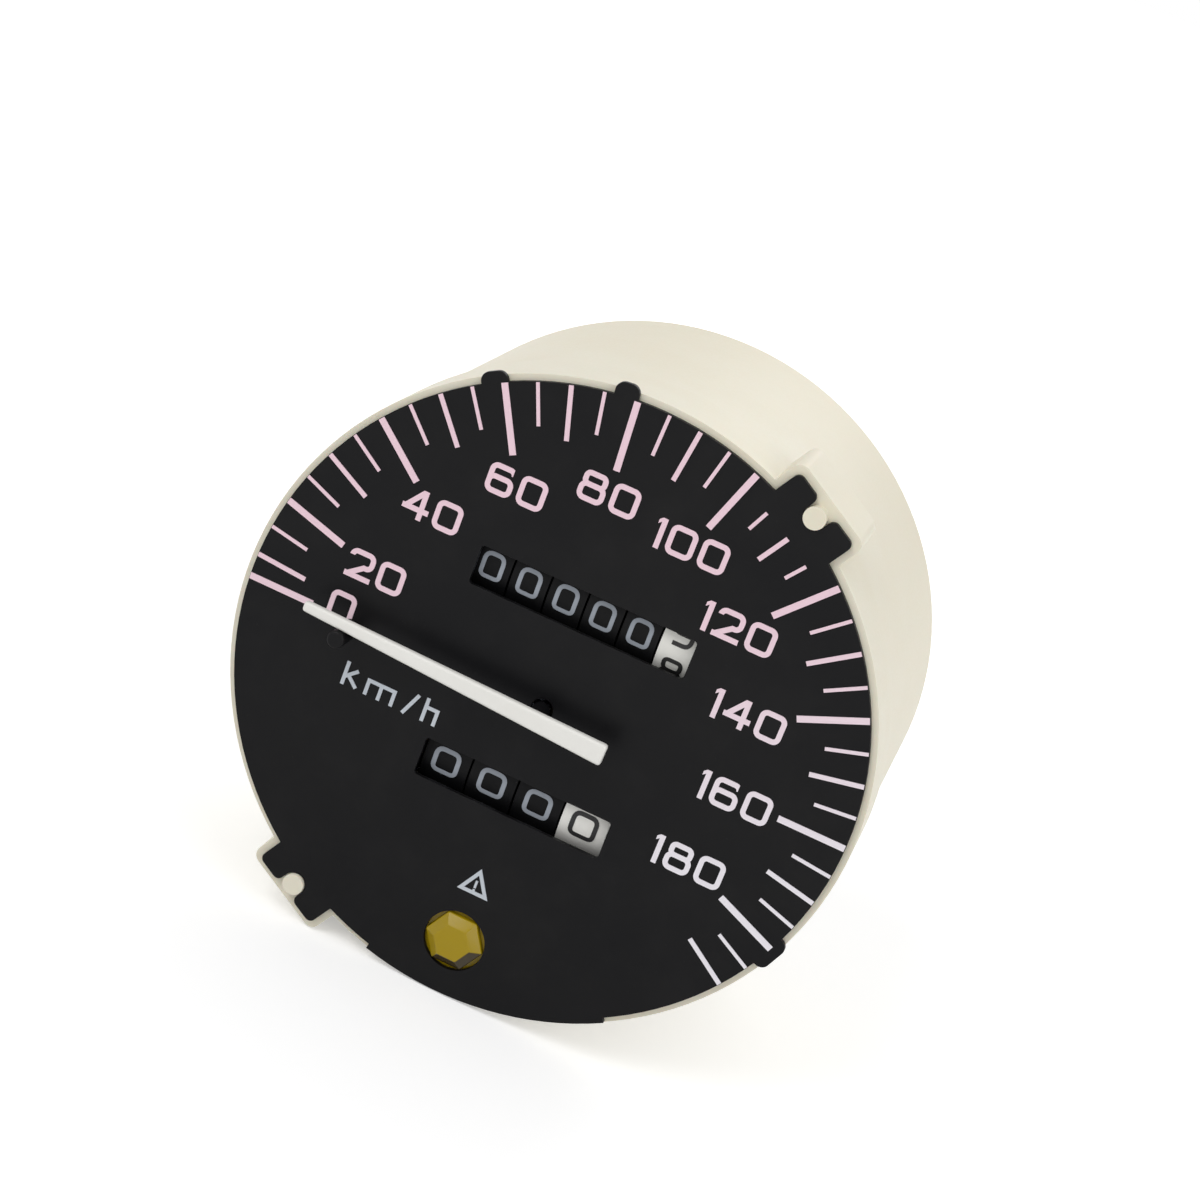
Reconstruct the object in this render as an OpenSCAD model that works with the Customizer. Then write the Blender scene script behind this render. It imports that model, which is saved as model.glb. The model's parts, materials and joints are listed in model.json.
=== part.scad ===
// Motorcycle speedometer insert: dial, needle, two drum counters and the eddy-current movement.
// X is right and Z is up on the dial, and +Y runs back through the case.
// The origin is on the drive axis, in the rear face of the case.

/* [Dial] */
// Radius of the dial where the scale ends
dial_r = 43; // [42:0.25:46]
// Thickness of the dial plate
dial_t = 0.8; // [0.6:0.1:1]
// Place of the notched ear, in degrees clockwise from the top
ear_angle = 31; // [28:1:34]
// Reach of each ear past the scale edge
ear_reach = 3.6; // [3.2:0.1:4.2]
// Width of each ear
ear_w = 11.3; // [10:0.1:13]
// Width of the notch in each ear
notch_w = 3.2; // [2.8:0.1:3.6]
// Thickness of the printed marks
ink_t = 0.12; // [0.08:0.02:0.2]
// Height of the printed numbers
numeral_h = 4.1; // [3.6:0.1:4.4]
// Width of the strokes in the printed numbers
stroke_w = 0.7; // [0.5:0.02:0.8]
// Radius of the hole that shows the warning jewel
jewel_hole_r = 4.3; // [4:0.1:4.6]
// Size of the warning jewel across its flats
jewel_w = 7.4; // [6.8:0.1:7.6]

/* [Needle] */
// Length of the needle from the pivot to the tip
needle_tip = 33.4; // [31:0.1:34]
// Length of the needle's tail
needle_tail = 10.4; // [9:0.1:12]
// Width of the needle at the tail's end
needle_tail_w = 3; // [2.6:0.1:3.4]
// Width of the needle at the tip
needle_tip_w = 1.44; // [1.2:0.04:1.8]
// Thickness of the needle
needle_t = 1.2; // [0.8:0.1:1.6]
// Height of the needle's front over the dial's face
needle_lift = 5; // [4.2:0.1:6]
// Radius of the needle spindle
spindle_r = 0.75; // [0.6:0.05:0.9]
// Radius of the stop pin
stop_r = 1.2; // [1:0.1:1.4]

/* [Counters] */
// Radius of the number drums
drum_r = 9.2; // [8.8:0.1:9.3]
// Gap between the back of the dial and the drums
drum_gap = 0.8; // [0.7:0.1:1]
// Distance from one odometer drum to the next
odometer_pitch = 5.28; // [5.1:0.02:5.34]
// Distance from one trip drum to the next
trip_pitch = 6.75; // [6.6:0.01:6.9]
// Height of the odometer shaft over the drive axis
odometer_z = 15; // [14.8:0.1:15.4]
// Depth of the trip shaft under the drive axis
trip_z = 12.5; // [12.3:0.1:12.8]
// Radius of the counter shafts
counter_shaft_r = 1.2; // [1:0.05:1.4]
// Height of the two windows
window_h = 5.5; // [5:0.1:6]

/* [Case] */
// Rim of the case that shows around the dial
rim_show = 0.9; // [0.6:0.1:1.4]
// Wall thickness of the case
case_wall = 1.6; // [1.4:0.1:2]
// Depth of the case from the dial's seat to its rear face
case_depth = 54; // [53:0.5:60]
// Thickness of the case's rear wall
rear_wall = 2.5; // [2:0.1:3]

/* [Drive] */
// Radius of the cable neck's M12 thread
neck_r = 6; // [5.5:0.1:6.5]
// Length of the cable neck behind the case
neck_l = 12; // [10:0.5:16]
// Radius of the input spindle
input_r = 2.4; // [2.3:0.05:2.6]
// Square hole in the input spindle for the cable's end
socket_w = 2.6; // [2.4:0.1:2.8]
// Length of the rear bolt pattern
bolt_spacing = 34; // [32:0.5:36]
// Radius of the tapped rear holes, for M4 screws
bolt_r = 1.65; // [1.5:0.05:1.7]
// Radius of the magnet
magnet_r = 9.4; // [9:0.1:9.5]

/* [Hidden] */
$fn = 64;

// Clearances: a fixed fit, a running fit and a free gap
fixed_gap = 0.02;
run_gap = 0.05;
free_gap = 0.3;

// Scale: plain speeds spread at a steady rate from the first number to the last
speed_first = 10;
speed_last = 190;
speed_step = 5;
speed_mark = 120;
speed_mark_angle = 43;
degrees_per_unit = 1.17;
zero_angle = -90;
long_tick = 9.4;
mid_tick = 7.25;
short_tick = 5.7;
ear_tick_cut = 2.6;
ear_tick_reach = 7;
long_tick_w = 0.88;
mid_tick_w = 0.63;
short_tick_w = 0.47;
tick_margin = 0.1;
numeral_w = 3.7;
numeral_gap = 0.72;
numeral_corner = 1.05;

// Dial outline details: a deeper bottom edge and three small tabs
bottom_edge = 0.75;
bottom_from = 148;
bottom_to = 194;
tabs = [[-29, 1.45, 3.6], [-6, 1.8, 3.2], [114, 1.35, 5]];
tab_corner = 1.2;
tab_root = 2;
notch_floor = 0.2;
peg_r = notch_w / 2 - 0.1;
peg_ring_r = dial_r + notch_floor + notch_w / 2;
peg_proud = 0.5;
lug_margin = 1;
lug_depth = 11;
lug_corner = 1.4;
ear_corner = 0.9;

// Case
case_r = dial_r + rim_show;
band_step = 0.6;
body_r = case_r - band_step;
case_in_r = body_r - case_wall;
rear_in_y = case_depth - rear_wall;
rear_edge = 1.2;
jewel_x = 0.35;
jewel_z = -0.83 * dial_r;
jewel_flange_t = 1.2;
jewel_proud = 1.1;
jewel_table = 0.62;
tube_wall = 0.9;
lamp_ring_r = dial_r - 9;
lamp_r = 4.1;
lamp_flange_r = 5.3;
lamp_flange_t = 1.6;
bulb_r = 2.6;
bulb_l = 15;
bulb_seat = 1.5;
lamp_reach = 5;
lamp_side_gap = 0.8;

// Counters
drum_y = drum_gap + drum_r;
drum_side_gap = 0.3;
odometer_count = 6;
trip_count = 4;
odometer_x = 0.1;
trip_x = 0.45;
odometer_window = [-15, 15.5];
trip_window = [-12.95, 14.05];
odometer_window_z = 14.5;
trip_window_z = -13.15;
drum_hub_r = 3;
drum_rim_t = 0.9;
drum_web_t = 1.2;
carry_teeth = 8;
carry_r = 2.2;
carry_w = 3;
carry_shaft_r = 0.7;
carry_angle = 60;
carry_reach = drum_r + carry_r + 0.2;

// Gear train: 35 turns of the spindle for one of the cross shaft, and 40 of that for one of an arbor
cross_teeth = 35;
arbor_teeth = 40;
drum_teeth = 26;
train_scale = 0.298 + 0.013 * case_depth;
cross_module = 0.357 * train_scale;
arbor_module = 0.345 * train_scale;
cross_worm_r = 2.75;
arbor_worm_r = 2.2;
drum_centres = 16.6 * train_scale;
drum_module = drum_centres / drum_teeth;
cross_wheel_r = cross_teeth * cross_module / 2;
arbor_wheel_r = arbor_teeth * arbor_module / 2;
cross_x = cross_worm_r + cross_wheel_r;
arbor_y = drum_y + drum_centres;
arbor_z = odometer_z;
cross_y = arbor_y + arbor_wheel_r + arbor_worm_r;
trip_drop = arbor_z - trip_z;
trip_y = arbor_y - sqrt(drum_centres * drum_centres - trip_drop * trip_drop);
trip_mesh = atan2(trip_drop, arbor_y - trip_y);
arbor_r = 0.8;
cross_r = 1;
wheel_w = 1.6;
gear_w = 2.4;
gear_x = 18;
worm_turns = 4;
worm_sides = 14;
worm_depth = 0.92;

// Movement frame
plate_t = 2;
left_x = odometer_x - odometer_count * odometer_pitch / 2 - 0.4 - plate_t;
right_x = 22;
plate_front_y = 4;
plate_z = 27;
base_y = cross_y + cross_wheel_r + 2;
base_t = 3;
base_back_y = base_y + base_t;
foot_r = 1.25;
foot_shoulder_r = 2.2;
foot_ledge_t = 2;
foot_ledge_y = 3;
foot_reach = 4.4;
foot_ledge_l = 7.6;
foot_ledge_h = 8;
foot_tail = 1.6;
clip_t = 0.6;
clip_rim = 1;
lug_x = 3;
cross_end_z = 25;
cross_lug_t = 3;
bearing_t = 3;
screw_r = 1.25;
screw_head_r = 2.6;
screw_head_t = 1.6;
recess_l = 4;
recess_w = 0.7;
recess_t = 1.4;
screw_spots = [[-12, 19], [17, 19], [-12, -19], [17, -19]];
boss_r = 4;
neck_root_r = neck_r - 1;
neck_waist_r = neck_r - 0.3;
spacer_r = 3;
bush_wall = 1.4;
bush_recess = 6;

// Needle line
rest_angle = -88;
needle_front_y = -dial_t - needle_lift;
hub_r = 1.2;
bridge_y = 11;
bridge_t = 3;
bridge_low = -2.5;
bridge_high = 5;
bush_r = 2.5;
bush_lip = 0.5;
hairspring_y = 17;
hairspring_w = 0.8;
strip_t = 0.25;
hairspring_in = 1.9;
hairspring_out = 5.6;
hairspring_turns = 3.5;
collet_r = 1.8;
stud_r = 0.8;
cup_y = 19.8;
cup_t = 0.6;
cup_r = magnet_r + 1.1;
cup_wall = 0.5;
magnet_y = 22.4;
magnet_t = 5;
input_front_y = magnet_y - 0.9;
pivot_depth = 3;
input_front_r = 1.6;
input_collar = 0.8;
socket_recess = 3;
socket_depth = 8;
stop_along = dial_r - long_tick - 6;
stop_height = needle_lift + 0.6;

// Trip reset
bevel_teeth = 12;
bevel_r = 3.6;
bevel_in = 2.4;
bevel_hub_r = 2.6;
bevel_hub_l = 0.8;
reset_r = 1.2;
reset_x = left_x - 0.5 - bevel_hub_l - bevel_r;
reset_lug_y = 18;
knob_r = 5;
knob_l = 8;
knob_gap = 0.8;

cream = [0.93, 0.9, 0.82];
dial_black = [0.05, 0.05, 0.055];
ink = [0.93, 0.8, 0.83];
steel = [0.7, 0.71, 0.73];
brass = [0.78, 0.65, 0.36];
zinc = [0.62, 0.63, 0.64];

function spot(r, a) = [r * sin(a), r * cos(a)];
function speed_angle(v) = speed_mark_angle + (v - speed_mark) * degrees_per_unit;
function drum_x(i, count, pitch, middle) = middle + (i - (count - 1) / 2) * pitch;
function needle_half(s) =
    (needle_tail_w + (needle_tip_w - needle_tail_w) * (s + needle_tail) / (needle_tip + needle_tail)) / 2;

// Placing: from the dial's seat to the rear face
module in_case() translate([0, -case_depth, 0]) children();
module front(y0, y1) translate([0, y1, 0]) rotate([90, 0, 0]) linear_extrude(y1 - y0) children();
module rod_y(r, y0, y1) translate([0, y0, 0]) rotate([-90, 0, 0]) cylinder(r = r, h = y1 - y0);
module rod_x(r, x0, x1) translate([x0, 0, 0]) rotate([0, 90, 0]) cylinder(r = r, h = x1 - x0);
module along_x(x0, x1) translate([x0, 0, 0]) rotate([90, 0, 90]) linear_extrude(x1 - x0) children();
module at(xz) translate([xz[0], 0, xz[1]]) children();
module block(lo, hi) translate(lo) cube(hi - lo);

// A wheel outline with straight tapered teeth, one of them along +X
module toothed(teeth, module_size, tip = 0.75, root = 1.1) {
    pitch_r = teeth * module_size / 2;
    step = 360 / teeth;
    polygon([
        for (i = [0 : teeth - 1], k = [[-0.3, -root], [-0.11, tip], [0.11, tip], [0.3, -root]])
            (pitch_r + k[1] * module_size) * [cos((i + k[0]) * step), sin((i + k[0]) * step)]
    ]);
}

// A one-start worm along Z whose hollow faces +X at its middle
module worm(pitch_r, module_size, core_r) {
    lead = PI * module_size;
    length = worm_turns * lead;
    difference() {
        rotate([0, 0, 180])
            translate([0, 0, -length / 2])
                linear_extrude(length, twist = -360 * worm_turns, slices = 12 * worm_turns, $fn = worm_sides)
                    translate([worm_depth * module_size, 0])
                        circle(r = pitch_r, $fn = worm_sides);
        cylinder(r = core_r, h = length + 1, center = true);
    }
}

// Printed characters, drawn from round-cornered bars
module round_box(w, h, r) {
    translate([r, 0]) square([w - 2 * r, h]);
    translate([0, r]) square([w, h - 2 * r]);
    for (x = [r, w - r], y = [r, h - r])
        translate([x, y]) circle(r = r, $fn = 24);
}
module ring_box(w, h, r, s) difference() {
    round_box(w, h, r);
    translate([s, s]) round_box(w - 2 * s, h - 2 * s, r - s);
}
module bar(x0, y0, x1, y1) translate([x0, y0]) square([x1 - x0, y1 - y0]);

module slant(from, to, s) {
    run = to - from;
    side = s / 2 / norm(run) * [-run[1], run[0]];
    polygon([from + side, to + side, to - side, from - side]);
}
module digit(n) {
    w = numeral_w;
    h = numeral_h;
    s = stroke_w;
    r = numeral_corner;
    loop_h = (h + s) / 2 + 0.05 * h;
    low = 0.24 * h;
    if (n == 0) ring_box(w, h, r, s);
    if (n == 1) {
        bar(0.6 * s, 0, 1.6 * s, h);
        polygon([[0.6 * s, h], [0, h - 0.5 * s], [0, h - 1.3 * s], [0.6 * s, h - 0.8 * s]]);
    }
    if (n == 2) {
        difference() {
            translate([0, h - loop_h]) ring_box(w, loop_h, r, s);
            bar(-s, 0, 0.6 * w, h - 0.4 * loop_h);
        }
        intersection() {
            bar(0, 0, w, h);
            slant([0.1 * w, 0.4 * s], [0.66 * w, h - loop_h + 0.55 * s], s);
        }
        bar(0, 0, w, s);
    }
    if (n == 4) {
        bar(w - 2 * s, 0, w - s, h);
        bar(0, low, w, low + s);
        intersection() {
            bar(0, low, w - s, h);
            slant([0.3 * s, low], [w - 1.5 * s, h], s);
        }
    }
    if (n == 6) {
        ring_box(w, loop_h, r, s);
        intersection() {
            ring_box(w, h, r, s);
            union() {
                bar(0, loop_h / 2, s, h);
                bar(0, h - r, 0.86 * w, h);
            }
        }
    }
    if (n == 8) {
        ring_box(w, loop_h, r, s);
        translate([0.05 * w, loop_h - s]) ring_box(0.9 * w, h - loop_h + s, 0.85 * r, s);
    }
}

// A number of up to three digits, centred on the origin, with a narrow 1
function digit_w(n) = n == 1 ? 1.6 * stroke_w : numeral_w;
function digit_x(digits, i) =
    i == 0 ? 0 : digit_x(digits, i - 1) + digit_w(digits[i - 1]) + numeral_gap;
module number(v) {
    digits = v > 99 ? [floor(v / 100), floor(v / 10) % 10, v % 10]
        : v > 9 ? [floor(v / 10), v % 10] : [v];
    last = len(digits) - 1;
    half_w = (digit_x(digits, last) + digit_w(digits[last])) / 2;
    for (i = [0 : last])
        translate([digit_x(digits, i) - half_w, -numeral_h / 2]) digit(digits[i]);
}

module tick(angle, length, width, end_r) {
    rotate(-angle)
        translate([-width / 2, end_r - length]) square([width, length]);
}

// Case: a cream moulded drum with two lugs, pegs for the dial's notches and a light tube
module lug_outline(extra, corner) {
    for (a = [ear_angle, ear_angle + 180])
        rotate(-a)
            translate([-ear_w / 2 - extra, dial_r / 2])
                round_box(ear_w + 2 * extra, dial_r / 2 + ear_reach + extra, corner);
}
module housing() color(cream) in_case() difference() {
    union() {
        difference() {
            union() {
                rod_y(case_r, 0, lug_depth);
                rod_y(body_r, 0, case_depth - rear_edge);
                translate([0, case_depth - rear_edge, 0]) rotate([-90, 0, 0])
                    cylinder(r1 = body_r, r2 = body_r - rear_edge, h = rear_edge);
                front(0, lug_depth) lug_outline(lug_margin, lug_corner);
            }
            rod_y(case_in_r, -1, rear_in_y);
        }
        for (a = [ear_angle, ear_angle + 180])
            at(spot(peg_ring_r, a)) rod_y(peg_r, -dial_t - peg_proud, 1);
        at([jewel_x, jewel_z])
            rod_y(jewel_hole_r + run_gap + tube_wall, jewel_flange_t + free_gap, rear_in_y + 1);
        for (p = screw_spots) at(p) rod_y(spacer_r, base_back_y, rear_in_y + 1);
    }
    at([jewel_x, jewel_z]) rod_y(jewel_hole_r + run_gap, -1, rear_in_y);
    for (p = screw_spots) at(p) rod_y(screw_r + run_gap, base_back_y - 1, case_depth + 1);
    for (z = [-1, 1]) at([0, z * bolt_spacing / 2]) rod_y(boss_r + run_gap, rear_in_y - 1, case_depth + 1);
    rod_y(neck_waist_r + run_gap, rear_in_y - 1, case_depth + 1);
    at([reset_x, -trip_z]) rod_y(reset_r + run_gap, rear_in_y - 1, case_depth + 1);
    for (p = lamp_spots()) at(p) rod_y(lamp_r + run_gap, rear_in_y - 1, case_depth + 1);
}
lamp_x = right_x + plate_t + lamp_r + lamp_side_gap;
lamp_z = sqrt(lamp_ring_r * lamp_ring_r - lamp_x * lamp_x);
function lamp_spots() = [[-lamp_x, lamp_z], [lamp_x, lamp_z], [jewel_x, jewel_z]];

// Dial: a thin black plate with its printing
module sector(r, from, to) {
    far = 2 * r;
    intersection() {
        circle(r = r);
        polygon([[0, 0], spot(far, from), spot(far, (from + to) / 2), spot(far, to)]);
    }
}
module window(span, z) translate([span[0], z - window_h / 2]) round_box(span[1] - span[0], window_h, 0.5);
function stop_spot() = let (half = needle_half(stop_along) + stop_r + run_gap)
    [stop_along * sin(rest_angle) - half * cos(rest_angle),
        stop_along * cos(rest_angle) + half * sin(rest_angle)];

// An ear: two rounded lobes, with the notch's floor between them
module dial_ears() {
    lobe_w = (ear_w - notch_w) / 2;
    for (a = [ear_angle, ear_angle + 180])
        rotate(-a) translate([0, dial_r / 2]) {
            for (x = [-ear_w / 2, notch_w / 2])
                translate([x, 0]) round_box(lobe_w, dial_r / 2 + ear_reach, ear_corner);
            translate([-ear_w / 4, 0]) square([ear_w / 2, peg_ring_r - dial_r / 2]);
        }
}
module dial_plate() color(dial_black) in_case() front(-dial_t, 0) difference() {
    union() {
        circle(r = dial_r, $fn = 180);
        sector(dial_r + bottom_edge, bottom_from, bottom_to);
        dial_ears();
        for (t = tabs)
            rotate(-t[0])
                translate([-t[2] / 2, dial_r - tab_root]) round_box(t[2], tab_root + t[1], tab_corner);
    }
    for (a = [ear_angle, ear_angle + 180])
        translate(spot(peg_ring_r, a)) circle(r = notch_w / 2);
    window(odometer_window, odometer_window_z);
    window(trip_window, trip_window_z);
    translate([jewel_x, jewel_z]) circle(r = jewel_hole_r);
    translate(stop_spot()) circle(r = stop_r + fixed_gap);
    circle(r = hub_r + free_gap);
}

module dial_scale() color(ink) in_case() front(-dial_t - ink_t, -dial_t) {
    tick(zero_angle, long_tick - tick_margin, long_tick_w, dial_r - tick_margin);
    for (v = [speed_first : speed_step : speed_last]) {
        near_ear = abs(speed_angle(v) - ear_angle) < ear_tick_reach;
        short_by = near_ear ? ear_tick_cut : tick_margin;
        end_r = dial_r - short_by;
        if (v % 20 == 0) tick(speed_angle(v), long_tick - short_by, long_tick_w, end_r);
        else if (v % 10 == 0) tick(speed_angle(v), mid_tick - short_by, mid_tick_w, end_r);
        else tick(speed_angle(v), short_tick - short_by, short_tick_w, end_r);
    }
}

// Each number stands upright inside its long tick, at its own distance from the tick's inner end
numeral_inset = [3.8, 5.5, 4.2, 4.1, 3.2, 3.4, 4.8, 6.3, 6.1, 6.2];
numeral_step = 20;
first_numeral_angle = -87.4;
module dial_numerals() color(ink) in_case() front(-dial_t - ink_t, -dial_t) difference() {
    for (i = [0 : len(numeral_inset) - 1])
        let (a = i == 0 ? first_numeral_angle : speed_angle(i * numeral_step))
            translate(spot(dial_r - long_tick - numeral_inset[i], a)) number(i * numeral_step);
    translate(stop_spot()) circle(r = stop_r + free_gap);
}

// The unit in plain letters, on one baseline, and a plain caution triangle over the jewel
legend_x = -26.5;
legend_z = -8.6;
letter_h = 3.4;
letter_s = 0.5;
caution_z = jewel_z + 8.8;
caution_r = 2.6;
module caution_mark() {
    rotate(90) difference() {
        circle(r = caution_r, $fn = 3);
        circle(r = caution_r - 2 * letter_s, $fn = 3);
    }
    bar(-letter_s / 3, -0.35, letter_s / 3, 0.75);
    bar(-letter_s / 3, -0.85, letter_s / 3, -0.55);
}
module dial_legend() color(ink) in_case() front(-dial_t - ink_t, -dial_t) {
    translate([jewel_x, caution_z]) caution_mark();
    translate([legend_x, legend_z]) unit_letters();
}
module unit_letters() {
    s = letter_s;
    x_h = 0.7 * letter_h;
    bar(0, 0, s, letter_h);
    translate([s, 0.3 * letter_h]) rotate(42) bar(0, 0, 2.1, s);
    translate([s, 0.42 * letter_h]) rotate(-42) bar(0, 0, 2.1, s);
    translate([letter_h, 0]) {
        for (x = [0, 1.9, 3.8]) bar(x, 0, x + s, x_h);
        bar(0, x_h - s, 3.8 + s, x_h);
    }
    translate([2.65 * letter_h, 0]) rotate(-24) bar(0, 0, s, 1.06 * letter_h);
    translate([3.47 * letter_h, 0]) {
        bar(0, 0, s, letter_h);
        bar(0, x_h - s, 2.2, x_h);
        bar(2.2 - s, 0, 2.2, x_h);
    }
}

// Two feet stand on the frame's ledges and carry the dial
foot_spots = [[left_x - foot_reach, 0], [right_x + plate_t + foot_reach, 0]];
module dial_feet() color(brass) in_case() for (p = foot_spots) at(p) {
    rod_y(foot_shoulder_r, 0, foot_ledge_y);
    rod_y(foot_r, 0, foot_ledge_y + foot_ledge_t + foot_tail);
}
module dial_foot_clips() color(steel) in_case() for (p = foot_spots) at(p) difference() {
    rod_y(foot_r + clip_rim, foot_ledge_y + foot_ledge_t, foot_ledge_y + foot_ledge_t + clip_t);
    rod_y(foot_r + fixed_gap, foot_ledge_y, foot_ledge_y + foot_ledge_t + foot_tail);
}
module stop_pin() color([0.08, 0.08, 0.08]) in_case()
    at(stop_spot()) rod_y(stop_r, -dial_t - stop_height, 0);

module warning_jewel() color([0.95, 0.68, 0.08]) in_case() at([jewel_x, jewel_z]) {
    hex_r = jewel_w / 2 / cos(30);
    rod_y(jewel_hole_r + 0.5, 0, jewel_flange_t);
    rotate([90, 0, 0]) cylinder(r = hex_r * 0.98, h = dial_t, $fn = 6);
    translate([0, -dial_t, 0]) rotate([90, 0, 0])
        cylinder(r1 = hex_r * 0.98, r2 = hex_r * jewel_table, h = jewel_proud, $fn = 6);
}

// Movement frame: a base plate, two side plates with dial ledges, and bearing lugs
module side_plate(x) block([x, plate_front_y, -plate_z], [x + plate_t, base_y + 1, plate_z]);
module movement_frame() color(zinc) in_case() difference() {
    union() {
        block([left_x, base_y, -plate_z], [right_x + plate_t, base_back_y, plate_z]);
        side_plate(left_x);
        side_plate(right_x);
        for (x = [left_x - foot_ledge_l, right_x])
            block([x, foot_ledge_y, -foot_ledge_h / 2],
                [x + foot_ledge_l + plate_t, foot_ledge_y + foot_ledge_t, foot_ledge_h / 2]);
        for (z = [-cross_end_z, cross_end_z - cross_lug_t])
            block([cross_x - lug_x, cross_y - lug_x, z], [cross_x + lug_x, base_y + 1, z + cross_lug_t]);
        block([reset_x - lug_x, reset_lug_y, -trip_z - lug_x],
            [left_x + 1, reset_lug_y + bearing_t, -trip_z + lug_x]);
        for (z = [-1, 1]) at([0, z * bolt_spacing / 2]) rod_y(boss_r, base_y + 1, case_depth);
    }
    for (p = foot_spots) at(p) rod_y(foot_r + fixed_gap, 0, base_y);
    translate([0, drum_y, odometer_z])
        rod_x(counter_shaft_r + fixed_gap, left_x - 1, right_x + plate_t + 1);
    translate([0, trip_y, -trip_z]) rod_x(counter_shaft_r + run_gap, left_x - 1, right_x + plate_t + 1);
    for (z = [-arbor_z, arbor_z]) translate([0, arbor_y, z])
        rod_x(arbor_r + run_gap, left_x - 1, right_x + plate_t + 1);
    for (p = carry_spots()) translate([0, p[0], p[1]])
        rod_x(carry_shaft_r + fixed_gap, left_x - 1, right_x + plate_t + 1);
    translate([cross_x, cross_y, -plate_z]) cylinder(r = cross_r + run_gap, h = 2 * plate_z);
    at([reset_x, -trip_z]) rod_y(reset_r + run_gap, reset_lug_y - 1, reset_lug_y + bearing_t + 1);
    translate([0, bridge_y + bridge_t / 2, (bridge_low + bridge_high) / 2])
        rod_x(screw_r + fixed_gap, left_x - 1, right_x + plate_t + 1);
    for (p = screw_spots) at(p) rod_y(screw_r + fixed_gap, base_y - 1, base_back_y + 1);
    for (z = [-1, 1]) at([0, z * bolt_spacing / 2]) rod_y(bolt_r, base_y + 1.5, case_depth + 1);
    rod_y(neck_root_r + fixed_gap, base_y - 1, base_back_y + 1);
}
function carry_spots() = [
    [drum_y + carry_reach * cos(carry_angle), odometer_z + carry_reach * sin(carry_angle)],
    [trip_y + carry_reach * cos(carry_angle), -trip_z - carry_reach * sin(carry_angle)]
];

// Bridge between the side plates, with the needle's front bearing
bridge_hole_l = 6;
module front_bridge() color(zinc) in_case() difference() {
    block([left_x + plate_t, bridge_y, bridge_low], [right_x, bridge_y + bridge_t, bridge_high]);
    rod_y(bush_r + fixed_gap, bridge_y - 1, bridge_y + bridge_t + 1);
    at([-hairspring_out - stud_r, 0]) rod_y(stud_r + fixed_gap, bridge_y - 1, bridge_y + bridge_t + 1);
    translate([0, bridge_y + bridge_t / 2, (bridge_low + bridge_high) / 2]) {
        rod_x(screw_r + fixed_gap, left_x, left_x + plate_t + bridge_hole_l);
        rod_x(screw_r + fixed_gap, right_x - bridge_hole_l, right_x + 1);
    }
}
module bridge_screws() color(steel) in_case()
    translate([0, bridge_y + bridge_t / 2, (bridge_low + bridge_high) / 2]) {
        rod_x(screw_r, left_x - 1, left_x + plate_t + bridge_hole_l - 0.5);
        rod_x(screw_head_r, left_x - screw_head_t, left_x);
        rod_x(screw_r, right_x - bridge_hole_l + 0.5, right_x + plate_t + 1);
        rod_x(screw_head_r, right_x + plate_t, right_x + plate_t + screw_head_t);
    }
module needle_bush() color(brass) in_case() difference() {
    rod_y(bush_r, bridge_y - bush_lip, bridge_y + bridge_t + bush_lip);
    rod_y(spindle_r + run_gap, bridge_y - 2, bridge_y + bridge_t + 2);
}

// Hairspring: a flat spiral from the collet out to its stud
spiral_steps = 84;
function spiral_point(i, side) = let (
    f = i / spiral_steps,
    r = hairspring_in + (hairspring_out - strip_t - hairspring_in) * f + side * strip_t,
    a = 180 - 360 * hairspring_turns * (1 - f)
) r * [cos(a), sin(a)];
module hairspring() color([0.35, 0.42, 0.62]) in_case()
    front(hairspring_y - hairspring_w / 2, hairspring_y + hairspring_w / 2)
        polygon(concat(
            [for (i = [0 : spiral_steps]) spiral_point(i, 0)],
            [for (i = [0 : spiral_steps]) spiral_point(spiral_steps - i, 1)]
        ));
module hairspring_stud() color(brass) in_case() at([-hairspring_out - stud_r, 0])
    rod_y(stud_r, bridge_y, hairspring_y + hairspring_w);

// Cable neck, its bush and the screws at the back
module cable_neck() color(zinc) in_case() difference() {
    union() {
        rod_y(neck_root_r, base_y, base_back_y);
        rod_y(neck_waist_r, base_back_y, case_depth);
        rod_y(neck_r, case_depth, case_depth + neck_l);
    }
    rod_y(input_r + bush_wall, base_y - 1, case_depth + neck_l + 1);
}
module neck_bush() color(brass) in_case() difference() {
    rod_y(input_r + bush_wall - fixed_gap, base_y, case_depth + neck_l - bush_recess);
    rod_y(input_r + run_gap, base_y - 1, case_depth + neck_l);
}
module frame_screws() color(steel) in_case() for (p = screw_spots) at(p) difference() {
    union() {
        rod_y(screw_r, base_y, case_depth + 1);
        rod_y(screw_head_r, case_depth, case_depth + screw_head_t);
    }
    translate([0, case_depth + screw_head_t, 0]) cube([recess_l, recess_t, recess_w], center = true);
    translate([0, case_depth + screw_head_t, 0]) cube([recess_w, recess_t, recess_l], center = true);
}

// Lamps: two light the dial, one lights the jewel
module lamp_holders() color([0.25, 0.25, 0.26]) in_case() for (p = lamp_spots()) at(p) difference() {
    union() {
        rod_y(lamp_r, rear_in_y - lamp_reach, case_depth + lamp_flange_t);
        rod_y(lamp_flange_r, case_depth, case_depth + lamp_flange_t);
        block([-1.2, case_depth, -3.6], [1.2, case_depth + lamp_flange_t + 3.4, 3.6]);
    }
    rod_y(bulb_r + fixed_gap, rear_in_y - lamp_reach - 1, case_depth - bulb_seat);
}
module lamp_bulbs() color([0.9, 0.9, 0.86, 0.6]) in_case() for (p = lamp_spots()) at(p) {
    rod_y(bulb_r, case_depth - bulb_seat - bulb_l + bulb_r, case_depth - bulb_seat);
    translate([0, case_depth - bulb_seat - bulb_l + bulb_r, 0]) sphere(r = bulb_r);
}

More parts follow.
